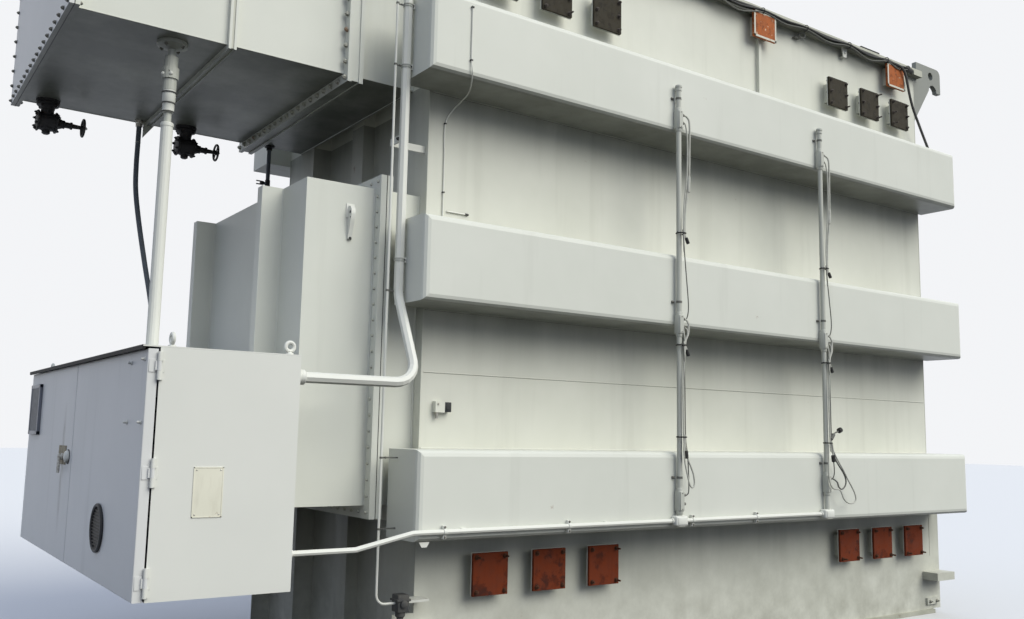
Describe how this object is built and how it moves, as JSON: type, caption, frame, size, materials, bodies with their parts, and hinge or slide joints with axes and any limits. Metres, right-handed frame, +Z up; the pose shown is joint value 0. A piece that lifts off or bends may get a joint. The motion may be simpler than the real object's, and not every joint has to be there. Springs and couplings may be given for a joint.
{
  "type": "power transformer without its radiators and bushings",
  "caption": "Tall banded transformer tank with blanked radiator ports, a ribbed side box with valves, a flanged side compartment and a two-door control cabinet hung on its left end.",
  "frame": {"origin": "middle of the tank's underside, on the ground", "axes": "+Z up, +X along the long front to the right, the front faces -Y; the control cabinet is on the -X end"},
  "size_m": [7.103, 2.87, 4.8153],
  "materials": {
    "tank_paint": "semi-gloss pale grey enamel with light dirt",
    "cabinet_paint": "semi-gloss pale grey enamel, doors slightly bluer",
    "core_steel": "oiled dark steel and paper, out of sight",
    "conduit_paint": "pale grey enamel on steel conduit",
    "dark_hose": "matt dark sheathing",
    "valve_iron": "matt black paint on cast iron",
    "handle_metal": "satin zinc",
    "window_grey": "dark satin"
  },
  "bodies": {
    "tank": {"tank_floor": "tank_paint", "front_wall": "tank_paint", "back_wall": "tank_paint", "end_wall_left": "tank_paint", "end_wall_right": "tank_paint", "tank_cover": "tank_paint", "core_and_windings": "core_steel", "front_band_lower": "tank_paint", "front_band_middle": "tank_paint", "front_band_upper": "tank_paint", "back_band_lower": "tank_paint", "back_band_middle": "tank_paint", "back_band_upper": "tank_paint", "lifting_lug_front_left": "tank_paint", "lifting_lug_front_right": "tank_paint", "lifting_lug_back_left": "tank_paint", "lifting_lug_back_right": "tank_paint", "upper_box_inner": "tank_paint", "upper_box_outer": "tank_paint", "upper_box_end_cover": "tank_paint", "side_throat": "tank_paint", "side_compartment": "tank_paint", "cabinet_body": "cabinet_paint", "cabinet_roof": "cabinet_paint", "supply_pipe": "conduit_paint", "supply_union": "conduit_paint", "valve_1": "valve_iron", "valve_2": "valve_iron", "drain_stub": "valve_iron", "conduit_main": "conduit_paint", "conduit_low": "conduit_paint", "conduit_thin": "conduit_paint", "junction_box": "conduit_paint", "riser_left": "conduit_paint", "riser_right": "conduit_paint", "lead_left": "dark_hose", "lead_right": "dark_hose", "flexible_conduit": "dark_hose", "edge_cable": "dark_hose"},
    "near_leaf": {"door_near": "cabinet_paint", "door_vent": "window_grey"},
    "far_leaf": {"door_far": "cabinet_paint", "door_window": "window_grey"},
    "handle": {"door_handle": "handle_metal"},
    "wheel_1": {"handwheel_1": "valve_iron"},
    "wheel_2": {"handwheel_2": "valve_iron"}
  },
  "joints": [
    {"name": "near_door_hinge", "type": "hinge", "parent": "tank", "child": "near_leaf", "pos_m": [-3.9013, -1.426, 0.639], "axis": [0, 0, 1], "range_deg": [0, 110]},
    {"name": "far_door_hinge", "type": "hinge", "parent": "tank", "child": "far_leaf", "pos_m": [-3.9013, 1.426, 0.639], "axis": [0, 0, -1], "range_deg": [0, 110]},
    {"name": "handle_turn", "type": "hinge", "parent": "far_leaf", "child": "handle", "pos_m": [-3.9488, 0.205, 1.18968], "axis": [1, 0, 0], "range_deg": [0, 90]},
    {"name": "wheel_1_turn", "type": "hinge", "parent": "tank", "child": "wheel_1", "pos_m": [-3.9045, 0.725, 3.2107], "axis": [1, 0, 0], "continuous": true},
    {"name": "wheel_2_turn", "type": "hinge", "parent": "tank", "child": "wheel_2", "pos_m": [-3.0645, 0.725, 3.2107], "axis": [1, 0, 0], "continuous": true}
  ]
}
